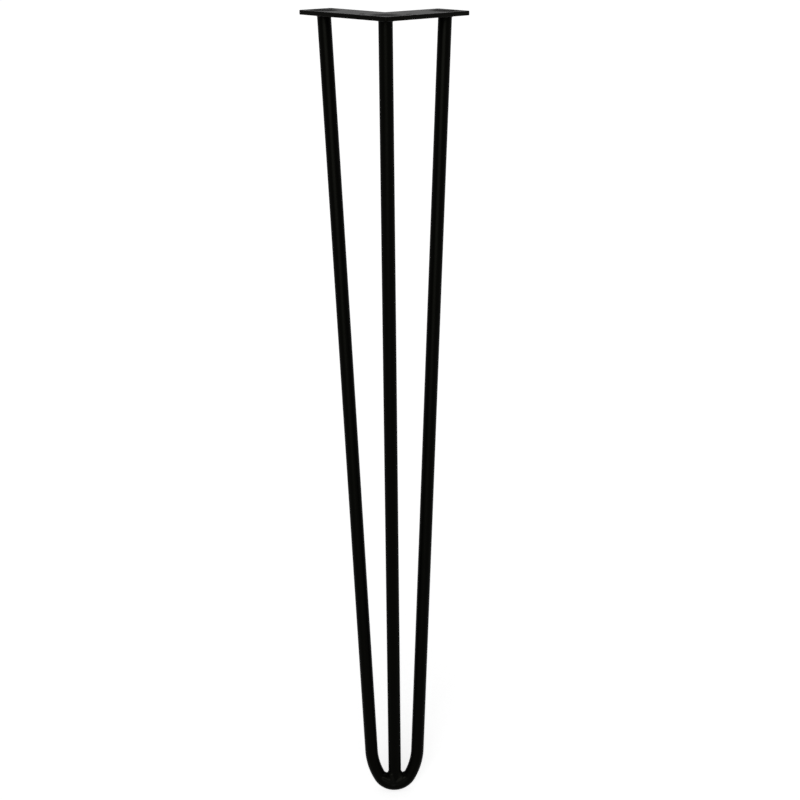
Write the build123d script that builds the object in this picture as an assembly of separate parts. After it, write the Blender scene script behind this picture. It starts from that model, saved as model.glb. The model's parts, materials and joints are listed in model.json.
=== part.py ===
from build123d import *
import math
import os

# Three-rod hairpin table leg, in millimetres.
# An L-shaped plate screws up under the table. One round bar, bent into a narrow U, hangs from the ends of
# the plate's arms, and a straight bar runs from under the plate's corner into the inside of the bend.
# Frame: +Z up. The origin is on the plate's top face, above the corner bar. The plate's outer corner
# points to -Y, and the leg is the same on both sides of X = 0.

# Leg
leg_height = 762.0
foot_reach = 40.0
rod_diameter = 12.7

# Plate: both arms alike, at a right angle
arm_length = 110.0
arm_width = 40.0
plate_thickness = 4.0
arm_corner_radius = 3.0
plate_edge_radius = 0.5

# Screw holes: the near one lies by the arm's outer edge, the far one by its inner edge and its end
screw_hole_diameter = 5.5
near_hole_along = 38.0
near_hole_edge = 9.5
far_hole_setback = 9.0
far_hole_edge = 7.0

# Hairpin: where its ends stand on the arms, and the two arcs of its bend along the bar's centreline
end_rod_setback = 12.5
tight_bend_radius = 17.0
tight_bend_turn = 60.0
wide_bend_radius = 64.0

# Corner bar: how far its coped end reaches down past the inside of the bend
corner_rod_bite = 2.0

# Welds: leg of the beads under the plate, how far the foot's weld stands past the corner bar, to its
# sides and all round the joint, and how many flats its half outline has
bead_leg = 2.0
foot_weld_side_reach = 6.5
foot_weld_cap = 2.0
foot_weld_flats = 5

# Values that follow from the sizes above
rod_radius = rod_diameter / 2
underside = Plane.XY.offset(-plate_thickness)
corner_top = Vector(0, 0, -plate_thickness)
foot_centre = Vector(0, -foot_reach, -leg_height + rod_radius)

# The plate is drawn with its arms along X and Y, then turned by half a right angle
plate_frame = Rotation(0, 0, 45) * Pos(-arm_width / 2, -arm_width / 2)


def arm_point(along, across):
    """Point under the plate's right arm, by its distances from the outer corner and the outer edge."""
    on_plate = (plate_frame * Pos(along, across)).position
    return Vector(on_plate.X, on_plate.Y, -plate_thickness)


right_top = arm_point(arm_length - end_rod_setback, arm_width / 2)
left_top = Vector(-right_top.X, right_top.Y, right_top.Z)

# The bent bar's centreline lies in a leaning plane, with its origin in the foot and its Y up the lean.
# Each straight run is the tangent from its top to the wide arc, and the taper is its angle to that Y.
up_the_lean = Vector(0, right_top.Y, right_top.Z) - foot_centre
lean_plane = Plane(foot_centre, x_dir=(1, 0, 0), z_dir=Vector(1, 0, 0).cross(up_the_lean))
run_top = Vector(right_top.X, up_the_lean.length)
turn = math.radians(tight_bend_turn)
radius_step = wide_bend_radius - tight_bend_radius
wide_centre = Vector(-radius_step * math.sin(turn), tight_bend_radius + radius_step * math.cos(turn))
centre_to_top = run_top - wide_centre
taper = math.acos(wide_bend_radius / centre_to_top.length) - math.atan2(centre_to_top.Y, centre_to_top.X)
run_direction = Vector(math.sin(taper), math.cos(taper))


def cut_under_plate(solid):
    """What is left of a solid below the plate's underside."""
    return split(solid, bisect_by=underside, keep=Keep.BOTTOM)


def mounting_plate():
    """L-shaped plate with its corners and edges rounded, and two staggered screw holes in each arm."""
    outline = Polyline(
        (0, 0),
        (arm_length, 0),
        (arm_length, arm_width),
        (arm_width, arm_width),
        (arm_width, arm_length),
        (0, arm_length),
        close=True,
    )
    blank = make_face(outline)
    inner_corner = blank.vertices().sort_by_distance((arm_width, arm_width))[0]
    rounded_corners = [corner for corner in blank.vertices() if corner != inner_corner]
    blank = fillet(rounded_corners, arm_corner_radius)
    plate = extrude(blank, -plate_thickness)
    rims = plate.faces().filter_by(Axis.Z).edges()
    plate = fillet(rims, plate_edge_radius)
    far_hole_along = arm_length - far_hole_setback
    far_hole_across = arm_width - far_hole_edge
    drill = extrude(Circle(screw_hole_diameter / 2), -plate_thickness)
    for along, across in ((near_hole_along, near_hole_edge), (far_hole_along, far_hole_across)):
        plate -= Pos(along, across) * drill
        plate -= Pos(across, along) * drill
    return plate_frame * plate


def hairpin_rod():
    """Bar swept along a tight arc at the foot, a wide arc on each side and a straight run to each arm.

    Both ends run on past the plate's underside and are cut flush with it.
    """
    tight_end = Vector(tight_bend_radius * math.sin(turn), tight_bend_radius * (1 - math.cos(turn)))
    tight_start = Vector(-tight_end.X, tight_end.Y)
    wide_end = wide_centre + wide_bend_radius * Vector(math.cos(taper), -math.sin(taper))
    tight_arc = ThreePointArc(tight_start, (0, 0), tight_end)
    wide_arc = TangentArc(tight_end, wide_end, tangent=tight_arc % 1)
    straight = Line(wide_end, run_top + rod_diameter * run_direction)
    right_side = Curve() + [wide_arc, straight]
    centreline = Curve() + [tight_arc, right_side, mirror(right_side, about=Plane.YZ)]
    path = Wire((lean_plane * centreline).edges())
    section = Plane(path @ 0, z_dir=path % 0) * Circle(rod_radius)
    return cut_under_plate(sweep(section, path))


def corner_rod(bent_rod):
    """Straight bar from the plate to the foot, flush at its top and coped over the bend at its bottom."""
    down = (foot_centre - corner_top).normalized()
    low_end = foot_centre - down * (rod_radius - corner_rod_bite)
    high_end = corner_top - down * rod_diameter
    bar = extrude(Plane(low_end, z_dir=-down) * Circle(rod_radius), (high_end - low_end).length)
    return cut_under_plate(bar) - bent_rod


def top_bead(rod, place, direction):
    """Weld bead in the corner between a bar and the plate: a cone that opens to the plate, less the bar."""
    cone = Cone(rod_radius - bead_leg, rod_radius + 3 * bead_leg, 4 * bead_leg)
    return cut_under_plate(Plane(place, z_dir=direction) * cone) - rod


def foot_weld(bent_rod, straight_rod):
    """Weld in the corners between the corner bar's end and the bend: a spun oval of flats, less the bars."""
    half_length = rod_radius + foot_weld_side_reach
    half_height = rod_radius + foot_weld_cap
    angles = [math.pi * flat / foot_weld_flats for flat in range(foot_weld_flats + 1)]
    corners = [(half_length * math.cos(angle), half_height * math.sin(angle)) for angle in angles]
    barrel = revolve(make_face(Polyline(corners, close=True)), Axis.X)
    return lean_plane * Pos(0, rod_radius) * barrel - bent_rod - straight_rod


bent = hairpin_rod()
straight_bar = corner_rod(bent)
up_right = lean_plane.y_dir * run_direction.Y + lean_plane.x_dir * run_direction.X
up_left = lean_plane.y_dir * run_direction.Y - lean_plane.x_dir * run_direction.X
corner_bead = top_bead(straight_bar, corner_top, corner_top - foot_centre)

nodes = {
    "mounting_plate": mounting_plate(),
    "hairpin_rod": bent,
    "corner_rod": straight_bar,
    "left_end_weld": top_bead(bent, left_top, up_left),
    "right_end_weld": top_bead(bent, right_top, up_right),
    "corner_rod_welds": corner_bead + foot_weld(bent, straight_bar),
}

os.makedirs("parts", exist_ok=True)
for name, shape in nodes.items():
    export_step(shape, f"parts/{name}.step")
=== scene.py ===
import json
import math

import bpy
import numpy as np
from mathutils import Matrix, Vector
from mathutils.geometry import delaunay_2d_cdt


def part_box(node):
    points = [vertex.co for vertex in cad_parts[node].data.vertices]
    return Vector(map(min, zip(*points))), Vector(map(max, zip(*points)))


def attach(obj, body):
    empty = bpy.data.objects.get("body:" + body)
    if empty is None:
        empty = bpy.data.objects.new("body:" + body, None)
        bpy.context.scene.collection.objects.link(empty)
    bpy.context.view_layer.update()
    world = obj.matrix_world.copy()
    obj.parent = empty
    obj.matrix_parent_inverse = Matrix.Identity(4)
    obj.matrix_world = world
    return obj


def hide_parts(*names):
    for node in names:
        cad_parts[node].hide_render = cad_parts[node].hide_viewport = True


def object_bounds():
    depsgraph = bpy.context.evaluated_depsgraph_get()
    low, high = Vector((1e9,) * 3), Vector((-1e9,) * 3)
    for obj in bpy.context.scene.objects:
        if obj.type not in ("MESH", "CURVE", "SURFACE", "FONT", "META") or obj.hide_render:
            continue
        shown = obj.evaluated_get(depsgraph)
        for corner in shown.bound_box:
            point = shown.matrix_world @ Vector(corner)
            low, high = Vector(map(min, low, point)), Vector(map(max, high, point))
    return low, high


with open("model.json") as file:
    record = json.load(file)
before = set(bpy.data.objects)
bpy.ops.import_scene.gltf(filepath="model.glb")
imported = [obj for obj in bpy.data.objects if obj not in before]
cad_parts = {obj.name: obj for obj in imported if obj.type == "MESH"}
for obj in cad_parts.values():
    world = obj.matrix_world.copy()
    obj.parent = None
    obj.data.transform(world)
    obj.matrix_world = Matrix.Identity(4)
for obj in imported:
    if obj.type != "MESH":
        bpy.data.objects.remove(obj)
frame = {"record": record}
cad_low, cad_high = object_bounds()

# Three-rod hairpin table leg in satin black powder coat, in metres.
# Frame: +Z up, the origin on the plate's top face above the corner bar, the plate's outer corner towards -Y.
# Each piece is made of grids of points, worked out from the leg's own sizes, and stands where its solid does.

# Leg and bars, as the solids have them
leg_height = -cad_low.z
foot_reach = 0.040
bar_radius = 0.00635
end_bar_setback = 0.0125
tight_bend_radius = 0.017
tight_bend_turn = math.radians(60)
wide_bend_radius = 0.064
corner_bar_bite = 0.002

# Plate, as the solid has it, with the roundings of its coated edges
plate_thickness = -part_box("mounting_plate")[0].z
arm_length = 0.110
arm_width = 0.040
arm_corner_radius = 0.003
inner_corner_radius = 0.001
plate_edge_radius = 0.0005
hole_edge_radius = 0.0003
flat_margin = 0.0004
mm_per_metre = 1000

# Hand-laid welds: the share of a ripple in which it climbs, how often each wave of a bead's unevenness swings
# once round, and between which bounds the waves are weighted
ripple_climb = 0.78
waver_waves = np.arange(2, 6)
waver_weights = (0.5, 1.0)

# Weld beads under the plate: the leg's waver is a share of the leg, and the ripples' drift round the bar and
# their bow across the bead are shares of one ripple
bead_leg = 0.0020
bead_leg_waver = 0.10
bead_crown = 0.00030
bead_sink = 0.0002
bead_ripples = 32
bead_ripple_height = 0.00014
bead_ripple_drift = 0.35
bead_ripple_bow = 0.9
left_bead_seed = 1
right_bead_seed = 2
corner_bead_seed = 3

# Weld at the foot: how softly the two bars run together, how far that fill stands out past them, how softly
# the strokes run into it, how deep the weld's skin lies under the bare bars, and its ripples
fill_softness = 0.00265
fill_cap = 0.0004
stroke_softness = 0.0005
weld_sink = 0.0002
weld_ripple_pitch = 0.0013
weld_ripple_height = 0.00016

# Extent of the foot's weld: where its middle lies up the lean, how far it may reach from there, sideways, up
# the lean and out of it, from which share of that reach on it runs out, and how deep it then sinks
weld_middle = 0.007
weld_reach = np.array([0.0185, 0.0125, 0.0125])
weld_fade_start = 0.62
weld_fade_depth = 0.0030

# Strokes of the foot's weld, as they were laid in front of the joint and behind it: x and y up the lean where
# each starts, the same where it ends, its radius, and how far it stands out past the bars
front_strokes = np.array([
    (-0.0127, 0.0102, -0.0062, 0.0068, 0.0030, 0.0009),
    (-0.0032, 0.0125, -0.0014, 0.0037, 0.0036, 0.0012),
    (0.0026, 0.0040, 0.0105, 0.0090, 0.0028, 0.0006),
    (0.0040, 0.0135, 0.0062, 0.0096, 0.0026, -0.0006),
])
back_strokes = np.array([
    (-0.0120, 0.0090, -0.0060, 0.0060, 0.0030, 0.0006),
    (-0.0020, 0.0115, -0.0010, 0.0040, 0.0036, 0.0010),
    (0.0034, 0.0046, 0.0090, 0.0064, 0.0028, 0.0006),
])

# Powder coat: its two tones, the tint of its gloss, the sizes and detail of the patches in which tone and
# roughness vary, how far the roughness varies, and the detail of its fine dimples
coat_dark = (0.0003, 0.0003, 0.0002, 1)
coat_pale = (0.0007, 0.0007, 0.0005, 1)
gloss_tint = (0.97, 1.0, 0.84, 1)
tone_patch_size = 0.03
tone_patch_detail = 3
rough_patch_size = 0.012
rough_patch_detail = 2
roughness_spread = 0.05
peel_detail = 2

# Duller marks on the plate's top, a little in front of each bar's top: full up to the inner radius, gone at
# the outer one, and added to the roughness
mark_inner_radius = 0.007
mark_outer_radius = 0.017
mark_shift = -0.006
corner_mark_dullness = 0.24
end_mark_dullness = 0.36

# Floor and light
floor_half = 60.0
floor_tone = 0.80
floor_lift = 0.66
world_tone = 0.25
sun_strength = 2.4
sun_spread = math.radians(45)
sun_place = Vector((-0.10, -1.0, 0.32))
white = (1, 1, 1, 1)

# Camera, with angles in radians, and the picture's width and centre in pixels
camera_place = Vector((-0.0154, -1.2775, 0.0948))
camera_tilt = 0.3387
camera_roll = 0.0106
camera_yaw = 0.0792
camera_focal_pixels = 1419.7
picture_width = 800
picture_centre = 480
sensor_width_mm = 36

# How finely the pieces are divided, and how often a span is halved to find a place in it
bar_sides = 72
tight_steps = 40
wide_steps = 50
run_steps = 60
corner_steps = 10
edge_steps = 5
hole_sides = 48
bead_steps_round = 448
bead_steps_across = 18
foot_weld_steps_along = 160
foot_weld_steps_round = 160
halvings = 40
crease_angle = math.radians(35)

# How flat faces are filled: the mode that gives triangles and leaves the holes out, and how close together
# two points count as one
fill_mode = 2
fill_tolerance = 1e-7

# Places that follow from the sizes above
underside = -plate_thickness
cos_45 = math.sqrt(0.5)
upright = np.array([0.0, 0.0, 1.0])
corner_top = np.array([0.0, 0.0, underside])
foot_centre = np.array([0.0, -foot_reach, -leg_height + bar_radius])


def on_plate(along, across):
    """Place in the plate's plan: the arms are drawn along x and y, then turned by half a right angle."""
    x = along - arm_width / 2
    y = across - arm_width / 2
    return np.stack([(x - y) * cos_45, (x + y) * cos_45], axis=-1)


def unit(vector):
    """Vector of length one, or one such vector for each row."""
    return vector / np.linalg.norm(vector, axis=-1, keepdims=True)


# The hairpin lies in a leaning plane, with its origin in the foot, x to the right and y up the lean
right_end = on_plate(arm_length - end_bar_setback, arm_width / 2)
lean_run = np.array([0.0, right_end[1], underside]) - foot_centre
lean_x = np.array([1.0, 0.0, 0.0])
lean_y = unit(lean_run)
lean_normal = np.cross(lean_x, lean_y)
run_top = np.array([right_end[0], np.linalg.norm(lean_run)])
radius_step = wide_bend_radius - tight_bend_radius
wide_centre = np.array([
    -radius_step * math.sin(tight_bend_turn),
    tight_bend_radius + radius_step * math.cos(tight_bend_turn),
])
centre_to_top = run_top - wide_centre
top_angle = math.atan2(centre_to_top[1], centre_to_top[0])
taper = math.acos(wide_bend_radius / np.hypot(*centre_to_top)) - top_angle
run_angle = math.pi / 2 - taper


def in_lean(places):
    """Points in space from places (x, y) in the leaning plane."""
    return foot_centre + places[..., :1] * lean_x + places[..., 1:] * lean_y


def grid_quads(rows, columns, closed_rows=False):
    """Quads of a grid of points whose columns close on themselves, and whose rows may too."""
    row = np.arange(rows if closed_rows else rows - 1)[:, None]
    column = np.arange(columns)[None, :]
    next_row = (row + 1) % rows
    next_column = (column + 1) % columns
    corners = (
        row * columns + column,
        row * columns + next_column,
        next_row * columns + next_column,
        next_row * columns + column,
    )
    return np.stack(np.broadcast_arrays(*corners), axis=-1).reshape(-1, 4)


def add_piece(name, points, faces, finish, node):
    """Mesh object from points and faces, in the finish given, that stands for one node of the frame."""
    mesh = bpy.data.meshes.new(name)
    mesh.from_pydata(np.reshape(points, (-1, 3)).tolist(), [], faces)
    mesh.shade_smooth()
    mesh.set_sharp_from_angle(angle=crease_angle)
    mesh.materials.append(finish)
    piece = bpy.data.objects.new(name, mesh)
    bpy.context.scene.collection.objects.link(piece)
    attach(piece, "root")
    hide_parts(node)
    return piece


def ring_angles(sides):
    """Equal steps once round."""
    return 2 * np.pi * np.arange(sides) / sides


def to_underside(points, direction):
    """Points moved along a bar's direction until they lie in the plate's underside."""
    return points + (underside - points[..., 2:]) / direction[2] * direction


# Bars


def bar_faces(rows):
    """Faces of a bar made of rings: its quads and a flat face on each end."""
    first = list(range(bar_sides))
    last = [(rows - 1) * bar_sides + corner for corner in first]
    return [*grid_quads(rows, bar_sides).tolist(), first[::-1], last]


def arc(centre, radius, angle):
    """Places on an arc: its centre plus its radius times (sin a, -cos a), with a the arc's own angle to x."""
    return centre + radius * np.stack([np.sin(angle), -np.cos(angle)], axis=-1)


def hairpin_half():
    """Right half of the hairpin's centreline, from the foot up: a tight arc, a wide arc and a straight run.

    Returns the places in the leaning plane and the line's angle to x at each of them.
    """
    tight_angle = np.linspace(0, tight_bend_turn, tight_steps, endpoint=False)
    wide_angle = np.linspace(tight_bend_turn, run_angle, wide_steps, endpoint=False)
    straight_angle = np.full(run_steps, run_angle)
    tight = arc(np.array([0.0, tight_bend_radius]), tight_bend_radius, tight_angle)
    wide = arc(wide_centre, wide_bend_radius, wide_angle)
    run_start = arc(wide_centre, wide_bend_radius, run_angle)
    straight = run_start + np.linspace(0, 1, run_steps)[:, None] * (run_top - run_start)
    places = np.concatenate([tight, wide, straight])
    return places, np.concatenate([tight_angle, wide_angle, straight_angle])


def hairpin_bar(finish):
    """Round bar carried along the hairpin, from the left arm down round the foot and up to the right arm.

    Each ring is the centreline plus the radius times (cos b outward - sin b normal to the plane), with b once
    round, and the two end rings are moved along the bar into the plate's underside.
    """
    right, right_angle = hairpin_half()
    left = right[:0:-1] * [-1, 1]
    places = np.concatenate([left, right])
    angle = np.concatenate([-right_angle[:0:-1], right_angle])
    outward = np.sin(angle)[:, None] * lean_x - np.cos(angle)[:, None] * lean_y
    onward = np.cos(angle)[:, None] * lean_x + np.sin(angle)[:, None] * lean_y
    around = ring_angles(bar_sides)[None, :, None]
    spokes = np.cos(around) * outward[:, None] - np.sin(around) * lean_normal
    rings = in_lean(places)[:, None] + bar_radius * spokes
    rings[0] = to_underside(rings[0], onward[0])
    rings[-1] = to_underside(rings[-1], onward[-1])
    return add_piece("hairpin_bar", rings, bar_faces(len(rings)), finish, "hairpin_rod")


def bend_distance(points):
    """Distance of points from the bend's centreline: the tight arc up to its turn, and then the wide arc."""
    offset = points - foot_centre
    x = np.abs(offset @ lean_x)
    y = offset @ lean_y
    from_tight = np.hypot(x, y - tight_bend_radius) - tight_bend_radius
    from_wide = np.hypot(x - wide_centre[0], y - wide_centre[1]) - wide_bend_radius
    is_tight = np.arctan2(x, tight_bend_radius - y) < tight_bend_turn
    return np.hypot(np.where(is_tight, from_tight, from_wide), offset @ lean_normal)


def corner_bar(finish):
    """Straight bar from under the plate's corner to the inside of the bend.

    Each line along it runs down from the plate's underside to the bar's square end, or until it meets the
    bend, where its distance from the bend's centreline is the bar's radius. That place is found by halving.
    """
    down = unit(foot_centre - corner_top)
    beside = np.cross(down, lean_x)
    around = ring_angles(bar_sides)[:, None]
    rim = bar_radius * (np.cos(around) * lean_x + np.sin(around) * beside)
    top_rim = to_underside(corner_top + rim, down)
    square_end = foot_centre - (bar_radius - corner_bar_bite) * down + rim
    clear = foot_centre - tight_bend_radius * down + rim
    low = square_end
    for _ in range(halvings):
        middle = (clear + low) / 2
        is_inside = bend_distance(middle)[:, None] < bar_radius
        low = np.where(is_inside, middle, low)
        clear = np.where(is_inside, clear, middle)
    low = np.where(bend_distance(square_end)[:, None] < bar_radius, low, square_end)
    share = np.linspace(0, 1, run_steps)[:, None, None]
    rings = top_rim + share * (low - top_rim)
    return add_piece("corner_bar", rings, bar_faces(len(rings)), finish, "corner_rod")


# Plate


def plate_outline():
    """L-shaped outline with every corner an arc, and the outward direction at each of its points.

    A corner's arc is its centre plus the radius times a direction that turns from one side to the next. At
    the inner corner the centre lies outside the plate, so its direction points into the plate.
    """
    corners = np.array([
        (0, 0),
        (arm_length, 0),
        (arm_length, arm_width),
        (arm_width, arm_width),
        (arm_width, arm_length),
        (0, arm_length),
    ])
    came = unit(corners - np.roll(corners, 1, axis=0))
    left_of = np.stack([-came[:, 1], came[:, 0]], axis=1)
    is_inner = np.all(corners == arm_width, axis=1)
    side = np.where(is_inner, -1.0, 1.0)[:, None]
    radius = np.where(is_inner, inner_corner_radius, arm_corner_radius)[:, None]
    centre = corners + radius * (side * left_of - came)
    turned = np.linspace(0, math.pi / 2, corner_steps)[None, :, None]
    spoke = np.sin(turned) * came[:, None] - np.cos(turned) * (side * left_of)[:, None]
    outline = centre[:, None] + radius[:, None] * spoke
    outward = side[:, None] * spoke
    return outline.reshape(-1, 2), outward.reshape(-1, 2)


def wall_profile(radius):
    """Profile of a wall with a quarter round at both edges, from the lower face to the upper one.

    Returns how far each step lies inside the wall, and how high. The first and last steps lie on the faces.
    """
    turned = np.linspace(0, math.pi / 2, edge_steps)
    inward = np.append(radius * (1 - np.cos(turned)), radius + flat_margin)
    height = np.append(radius * np.sin(turned) - radius, 0)
    return np.concatenate([inward[::-1], inward]), np.concatenate([underside - height[::-1], height])


def outer_wall():
    """The plate's outer wall: its outline moved in along the wall's profile."""
    outline, outward = plate_outline()
    inward, height = wall_profile(plate_edge_radius)
    plan = outline[None] - inward[:, None, None] * outward[None]
    turned = on_plate(plan[..., 0], plan[..., 1])
    level = np.broadcast_to(height[:, None, None], (*turned.shape[:2], 1))
    return np.concatenate([turned, level], axis=-1)


def screw_holes():
    """Centres of the screw holes in the plan, and their radius, from the screw patterns in the record."""
    patterns = [mount for mount in frame["record"]["mounts"] if mount["kind"] == "bolt_pattern"]
    centres = [
        (side * pattern["dims"]["spacing_x_mm"] / 2 / mm_per_metre, pattern["pos_m"][1])
        for pattern in patterns
        for side in (-1, 1)
    ]
    return centres, patterns[0]["dims"]["hole_r_mm"] / mm_per_metre


def hole_wall(centre, radius):
    """Wall of a screw hole: a circle that widens along the wall's profile."""
    wider, height = wall_profile(hole_edge_radius)
    angle = -ring_angles(hole_sides)
    x = centre[0] + (radius + wider)[:, None] * np.cos(angle)
    y = centre[1] + (radius + wider)[:, None] * np.sin(angle)
    return np.stack([x, y, np.broadcast_to(height[:, None], x.shape)], axis=-1)


def flat_face(loops):
    """Triangles that fill the first loop of points apart from the other loops, which are holes in it."""
    starts = np.cumsum([0, *(len(loop) for loop in loops)])
    flat = [Vector(point[:2]) for loop in loops for point in loop]
    rims = [list(range(start, end)) for start, end in zip(starts, starts[1:])]
    filled = delaunay_2d_cdt(flat, [], rims, fill_mode, fill_tolerance)
    origin = [source[0] for source in filled[3]]
    return [[origin[corner] for corner in face] for face in filled[2]]


def mounting_plate(finish):
    """L-shaped plate: an outer wall and hole walls with rounded edges, and two flat faces between them."""
    centres, radius = screw_holes()
    walls = [outer_wall(), *(hole_wall(centre, radius) for centre in centres)]
    starts = np.cumsum([0, *(wall.shape[0] * wall.shape[1] for wall in walls)])
    faces = []
    for wall, start in zip(walls, starts):
        faces += (grid_quads(*wall.shape[:2]) + start).tolist()
    for row, is_top in ((-1, True), (0, False)):
        loops = [wall[row] for wall in walls]
        numbers = np.concatenate([
            start + np.arange(wall.shape[1]) + row % wall.shape[0] * wall.shape[1]
            for wall, start in zip(walls, starts)
        ])
        for triangle in flat_face(loops):
            corners = [int(numbers[corner]) for corner in triangle]
            faces.append(corners if is_top else corners[::-1])
    points = np.concatenate([wall.reshape(-1, 3) for wall in walls])
    return add_piece("plate", points, faces, finish, "mounting_plate")


# Welds


def ripple(phase):
    """Height of a weld's ripples, from 0 to 1: half a cosine wave up, slowly, and half a one down, fast."""
    share = phase % 1.0
    climbing = 0.5 - 0.5 * np.cos(np.pi * share / ripple_climb)
    falling = 0.5 + 0.5 * np.cos(np.pi * (share - ripple_climb) / (1 - ripple_climb))
    return np.where(share < ripple_climb, climbing, falling)


def waver(angle, seed):
    """Slow unevenness of a hand-laid bead once round, from -1 to 1: a sum of waves with seeded phases."""
    draw = np.random.default_rng(seed)
    phases = draw.uniform(0, 2 * np.pi, len(waver_waves))
    weights = draw.uniform(*waver_weights, len(waver_waves))
    return (weights * np.sin(waver_waves * angle[..., None] + phases)).sum(axis=-1) / weights.sum()


def bead_rings(top, direction, seed):
    """Closed rings of a weld bead in the corner between a bar and the plate.

    Across the bead, a line runs from the bar to the plate and bulges out by a half wave. Round the bar, its
    legs waver and its crown carries ripples that are bent into crescents. A last point in the corner closes
    each ring.
    """
    angle = ring_angles(bead_steps_round)
    beside = unit(np.cross(direction, lean_x))
    ahead = np.cross(beside, direction)
    spoke = np.cos(angle)[:, None] * ahead - np.sin(angle)[:, None] * beside
    foot_line = to_underside(top + bar_radius * spoke, direction)
    level_spoke = unit(spoke * (1 - upright))
    leg = bead_leg * (1 + bead_leg_waver * waver(angle, seed))[:, None, None]
    into_bar = bead_sink * spoke[:, None]
    into_plate = bead_sink * upright
    on_bar = foot_line[:, None] - leg * direction - into_bar
    on_plate_face = foot_line[:, None] + leg * level_spoke[:, None] + into_plate

    across = np.linspace(0, 1, bead_steps_across)[None, :, None]
    drift = bead_ripple_drift * waver(angle, seed + 1)[:, None, None]
    bow = bead_ripple_bow * (2 * across - 1) ** 2
    phase = bead_ripples * angle[:, None, None] / (2 * np.pi) + drift - bow
    bulge = np.sin(np.pi * across) * (bead_crown + bead_ripple_height * ripple(phase))
    bulge_way = unit(spoke - direction)[:, None]
    skin = on_bar + across * (on_plate_face - on_bar) + bulge * bulge_way
    inner = foot_line[:, None] - into_bar + into_plate
    return np.concatenate([skin, inner], axis=1)


def bead_faces(rings):
    """Quads of a bead, whose grid closes on itself both ways."""
    return grid_quads(*rings.shape[:2], closed_rows=True).tolist()


def end_bead(name, node, side, finish, seed):
    """Weld bead round one end of the hairpin, on the left (side -1) or the right (side 1)."""
    top = np.array([side * right_end[0], right_end[1], underside])
    direction = side * math.cos(run_angle) * lean_x + math.sin(run_angle) * lean_y
    rings = bead_rings(top, direction, seed)
    return add_piece(name, rings, bead_faces(rings), finish, node)


def smooth_least(distances, softness):
    """Least of several distances, where nearly equal ones run together.

    It is -softness times the log of the sum of exp(-distance / softness).
    """
    return -softness * np.log(np.exp(-np.stack(distances) / softness).sum(axis=0))


def corner_bar_distance(points):
    """Distance of points from the corner bar's skin, with its square lower end, and less than 0 inside it."""
    up = unit(corner_top - foot_centre)
    offset = points - foot_centre
    along = offset @ up
    beside = np.linalg.norm(offset - along[..., None] * up, axis=-1) - bar_radius
    below = bar_radius - corner_bar_bite - along
    outside = np.hypot(np.maximum(beside, 0), np.maximum(below, 0))
    return outside + np.minimum(np.maximum(beside, below), 0)


def stroke_distances(points):
    """Distances of points from the skins of the foot weld's strokes.

    Each stroke is a ball drawn along a line in the bars, swollen by ripples that are bent into crescents.
    """
    distances = []
    for strokes, side in ((front_strokes, 1), (back_strokes, -1)):
        for x, y, end_x, end_y, radius, proud in strokes:
            depth = side * (bar_radius + proud - radius) * lean_normal
            start = in_lean(np.array([x, y])) + depth
            run = in_lean(np.array([end_x, end_y])) + depth - start
            run_way = unit(run)
            offset = points - start
            along = offset @ run_way
            across = offset @ np.cross(run_way, lean_normal)
            nearest = np.clip(along, 0, np.linalg.norm(run))[..., None] * run_way
            ripples = weld_ripple_height * ripple(along / weld_ripple_pitch - (across / radius) ** 2)
            distances.append(np.linalg.norm(offset - nearest, axis=-1) - radius - ripples)
    return distances


def foot_weld_distance(points):
    """Less than 0 inside the foot's weld.

    The bars' distances run together and are capped in front and behind, then the strokes' run into them, and
    all of it is sunk deeper towards the edge of the weld's reach.
    """
    offset = points - foot_centre
    fill = smooth_least([bend_distance(points) - bar_radius, corner_bar_distance(points)], fill_softness)
    past_cap = np.abs(offset @ lean_normal) - bar_radius - fill_cap
    capped = -smooth_least([-fill, -past_cap], stroke_softness)
    lumps = smooth_least([capped, *stroke_distances(points)], stroke_softness)
    reached = np.hypot(offset @ lean_x / weld_reach[0], (offset @ lean_y - weld_middle) / weld_reach[1])
    fade = np.clip((reached - weld_fade_start) / (1 - weld_fade_start), 0, 1)
    return lumps + weld_sink + weld_fade_depth * fade ** 2


def foot_weld_rings():
    """Closed skin of the weld at the foot, on rays from the weld's middle, as rings and their two poles.

    With s the angle from one side's pole and v the angle round, a ray's direction is (cos s) x + (sin s)
    times (cos v y - sin v normal). It ends where the weld does, or at an oval of the weld's reach. That place
    is found by halving.
    """
    from_pole = np.linspace(0, np.pi, foot_weld_steps_along + 2)[:, None]
    around = ring_angles(foot_weld_steps_round)[None, :]
    way = np.stack(
        np.broadcast_arrays(
            np.cos(from_pole),
            np.sin(from_pole) * np.cos(around),
            -np.sin(from_pole) * np.sin(around),
        ),
        axis=-1,
    )
    ray = way @ np.stack([lean_x, lean_y, lean_normal])
    middle = foot_centre + weld_middle * lean_y
    inside = np.zeros(way.shape[:2])
    outside = 1 / np.linalg.norm(way / weld_reach, axis=-1)
    for _ in range(halvings):
        halfway = (inside + outside) / 2
        is_inside = foot_weld_distance(middle + halfway[..., None] * ray) < 0
        inside = np.where(is_inside, halfway, inside)
        outside = np.where(is_inside, outside, halfway)
    skin = middle + inside[..., None] * ray
    return skin[1:-1], skin[[0, -1], 0]


def fan_faces(pole, ring, next_in_ring):
    """Triangles from a pole to each step of a ring of points."""
    return np.stack([np.full_like(ring, pole), ring, next_in_ring], axis=1).tolist()


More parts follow.
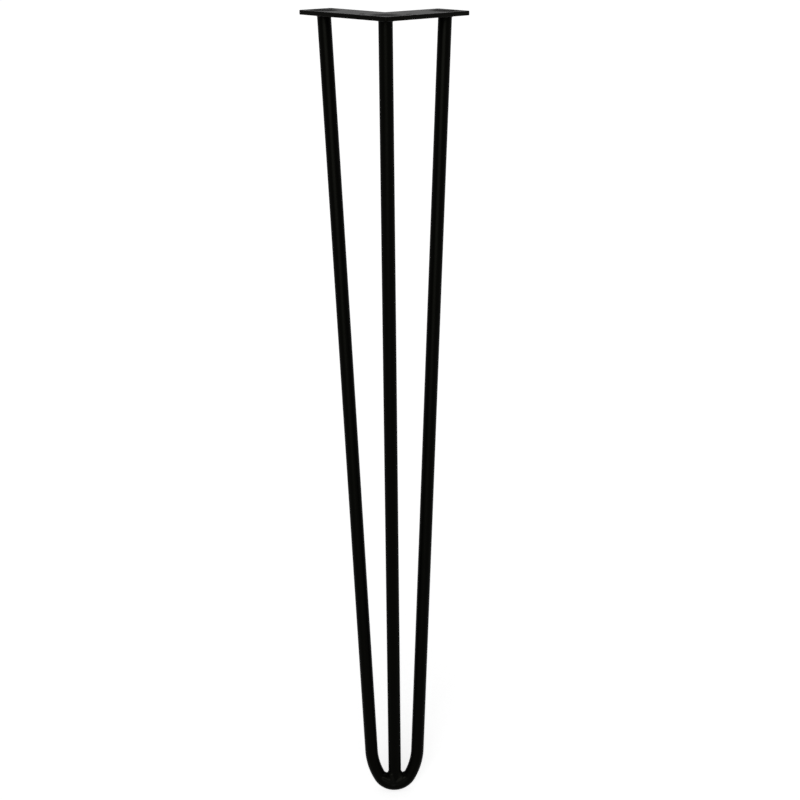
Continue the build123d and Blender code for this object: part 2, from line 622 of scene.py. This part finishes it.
def corner_bar_welds(finish):
    """The corner bar's two welds: the bead round its top and the weld at the foot."""
    bead = bead_rings(corner_top, unit(corner_top - foot_centre), corner_bead_seed)
    skin, poles = foot_weld_rings()
    bead_count = bead.shape[0] * bead.shape[1]
    rows, columns = skin.shape[:2]
    first_ring = bead_count + np.arange(columns)
    last_ring = first_ring + (rows - 1) * columns
    first_pole = bead_count + rows * columns
    faces = bead_faces(bead)
    faces += (grid_quads(rows, columns) + bead_count).tolist()
    faces += fan_faces(first_pole, np.roll(first_ring, -1), first_ring)
    faces += fan_faces(first_pole + 1, last_ring, np.roll(last_ring, -1))
    points = np.concatenate([bead.reshape(-1, 3), skin.reshape(-1, 3), poles])
    return add_piece("corner_bar_welds", points, faces, finish, "corner_rod_welds")


# Finish


def noise(tree, place, size, detail):
    """Socket of a noise from 0 to 1 whose patches have about the size given."""
    texture = tree.nodes.new("ShaderNodeTexNoise")
    texture.inputs["Scale"].default_value = 1 / size
    texture.inputs["Detail"].default_value = detail
    tree.links.new(place, texture.inputs["Vector"])
    return texture.outputs["Fac"]


def uneven_roughness(tree, place, roughness, dull_marks):
    """Socket of a roughness that varies in patches and is raised on marks, each with its x, y and depth."""
    patches = tree.nodes.new("ShaderNodeMapRange")
    patches.inputs["To Min"].default_value = roughness - roughness_spread
    patches.inputs["To Max"].default_value = roughness + roughness_spread
    tree.links.new(noise(tree, place, rough_patch_size, rough_patch_detail), patches.inputs["Value"])
    dullness = patches.outputs["Result"]
    for x, y, depth in dull_marks:
        away = tree.nodes.new("ShaderNodeVectorMath")
        away.operation = "DISTANCE"
        away.inputs[1].default_value = (x, y, 0)
        tree.links.new(place, away.inputs[0])
        mark = tree.nodes.new("ShaderNodeMapRange")
        mark.interpolation_type = "SMOOTHSTEP"
        mark.inputs["From Min"].default_value = mark_outer_radius
        mark.inputs["From Max"].default_value = mark_inner_radius
        mark.inputs["To Max"].default_value = depth
        tree.links.new(away.outputs["Value"], mark.inputs["Value"])
        duller = tree.nodes.new("ShaderNodeMath")
        duller.operation = "ADD"
        tree.links.new(dullness, duller.inputs[0])
        tree.links.new(mark.outputs["Result"], duller.inputs[1])
        dullness = duller.outputs[0]
    return dullness


def powder_coat(name, peel_size, peel_height, gloss, roughness, dull_marks=()):
    """Satin black powder coat: near-black, a little uneven in tone and roughness, its gloss faintly tinted.

    The fine dimples of a sprayed and baked coat are bump, with their size and height in metres.
    """
    coat = bpy.data.materials.new(name)
    coat.use_nodes = True
    tree = coat.node_tree
    shader = tree.nodes["Principled BSDF"]
    shader.inputs["Specular IOR Level"].default_value = gloss
    shader.inputs["Specular Tint"].default_value = gloss_tint
    place = tree.nodes.new("ShaderNodeTexCoord").outputs["Object"]

    tone = tree.nodes.new("ShaderNodeMix")
    tone.data_type = "RGBA"
    tone.inputs["A"].default_value = coat_dark
    tone.inputs["B"].default_value = coat_pale
    tree.links.new(noise(tree, place, tone_patch_size, tone_patch_detail), tone.inputs["Factor"])
    tree.links.new(tone.outputs["Result"], shader.inputs["Base Color"])

    dullness = uneven_roughness(tree, place, roughness, dull_marks)
    tree.links.new(dullness, shader.inputs["Roughness"])

    peel = tree.nodes.new("ShaderNodeBump")
    peel.inputs["Strength"].default_value = 1.0
    peel.inputs["Distance"].default_value = peel_height
    tree.links.new(noise(tree, place, peel_size, peel_detail), peel.inputs["Height"])
    tree.links.new(peel.outputs["Normal"], shader.inputs["Normal"])
    return coat


def weld_marks():
    """Places on the plate's top where the steel was welded from below: the corner and both ends."""
    end_x, end_y = right_end
    return [
        (0.0, mark_shift, corner_mark_dullness),
        (-end_x, end_y + mark_shift, end_mark_dullness),
        (end_x, end_y + mark_shift, end_mark_dullness),
    ]


# Floor, light and camera


def seen_directly(tree):
    """Socket that is 1 for rays from the camera, from a glossy surface or through a clear one, and else 0."""
    path = tree.nodes.new("ShaderNodeLightPath")
    direct = path.outputs["Is Camera Ray"]
    for ray_kind in ("Is Glossy Ray", "Is Transmission Ray"):
        either = tree.nodes.new("ShaderNodeMath")
        either.operation = "MAXIMUM"
        tree.links.new(direct, either.inputs[0])
        tree.links.new(path.outputs[ray_kind], either.inputs[1])
        direct = either.outputs[0]
    return direct


def add_floor():
    """Pale floor under the foot, out to the horizon, lifted to white where it is seen."""
    corners = [(x * floor_half, y * floor_half, cad_low.z) for x, y in ((-1, -1), (1, -1), (1, 1), (-1, 1))]
    mesh = bpy.data.meshes.new("floor")
    mesh.from_pydata(corners, [], [(0, 1, 2, 3)])
    paint = bpy.data.materials.new("pale_floor")
    paint.use_nodes = True
    tree = paint.node_tree
    shader = tree.nodes["Principled BSDF"]
    shader.inputs["Base Color"].default_value = (floor_tone, floor_tone, floor_tone, 1)
    shader.inputs["Roughness"].default_value = 1.0
    shader.inputs["Specular IOR Level"].default_value = 0.0
    shader.inputs["Emission Color"].default_value = white
    lift = tree.nodes.new("ShaderNodeMath")
    lift.operation = "MULTIPLY"
    lift.inputs[1].default_value = floor_lift
    tree.links.new(seen_directly(tree), lift.inputs[0])
    tree.links.new(lift.outputs[0], shader.inputs["Emission Strength"])
    mesh.materials.append(paint)
    floor = bpy.data.objects.new("floor", mesh)
    bpy.context.scene.collection.objects.link(floor)


def add_light():
    """Even pale surroundings that are white where they are seen, and one broad soft light from the front."""
    world = bpy.data.worlds.new("studio")
    world.use_nodes = True
    bpy.context.scene.world = world
    tree = world.node_tree
    background = tree.nodes["Background"]
    background.inputs["Color"].default_value = white
    strength = tree.nodes.new("ShaderNodeMapRange")
    strength.inputs["To Min"].default_value = world_tone
    strength.inputs["To Max"].default_value = 1.0
    tree.links.new(seen_directly(tree), strength.inputs["Value"])
    tree.links.new(strength.outputs["Result"], background.inputs["Strength"])

    lamp = bpy.data.lights.new("front_light", "SUN")
    lamp.energy = sun_strength
    lamp.angle = sun_spread
    light = bpy.data.objects.new("front_light", lamp)
    light.rotation_euler = sun_place.to_track_quat("Z", "Y").to_euler()
    bpy.context.scene.collection.objects.link(light)


def add_camera():
    """Camera a little above the plate, looking down along the leg, turned by its yaw, tilt and roll."""
    lens = bpy.data.cameras.new("camera")
    lens.sensor_width = sensor_width_mm
    lens.lens = camera_focal_pixels * sensor_width_mm / picture_width
    lens.shift_x = 0.5 - picture_centre / picture_width
    camera = bpy.data.objects.new("camera", lens)
    turned = (
        Matrix.Rotation(-camera_yaw, 4, "Z")
        @ Matrix.Rotation(math.pi / 2 - camera_tilt, 4, "X")
        @ Matrix.Rotation(camera_roll, 4, "Z")
    )
    camera.matrix_world = Matrix.Translation(camera_place) @ turned
    bpy.context.scene.collection.objects.link(camera)
    bpy.context.scene.camera = camera


# The leg in its three coats
bar_coat = powder_coat("coat_on_bar", peel_size=0.0018, peel_height=0.00003, gloss=0.020, roughness=0.34)
plate_coat = powder_coat(
    "coat_on_plate",
    peel_size=0.0022,
    peel_height=0.00003,
    gloss=0.027,
    roughness=0.41,
    dull_marks=weld_marks(),
)
weld_coat = powder_coat("coat_on_weld", peel_size=0.0012, peel_height=0.00004, gloss=0.030, roughness=0.38)
hairpin_bar(bar_coat)
corner_bar(bar_coat)
mounting_plate(plate_coat)
end_bead("left_end_bead", "left_end_weld", -1, weld_coat, left_bead_seed)
end_bead("right_end_bead", "right_end_weld", 1, weld_coat, right_bead_seed)
corner_bar_welds(weld_coat)

# What stands round it
add_floor()
add_light()
add_camera()
bpy.context.scene.view_settings.view_transform = "Standard"
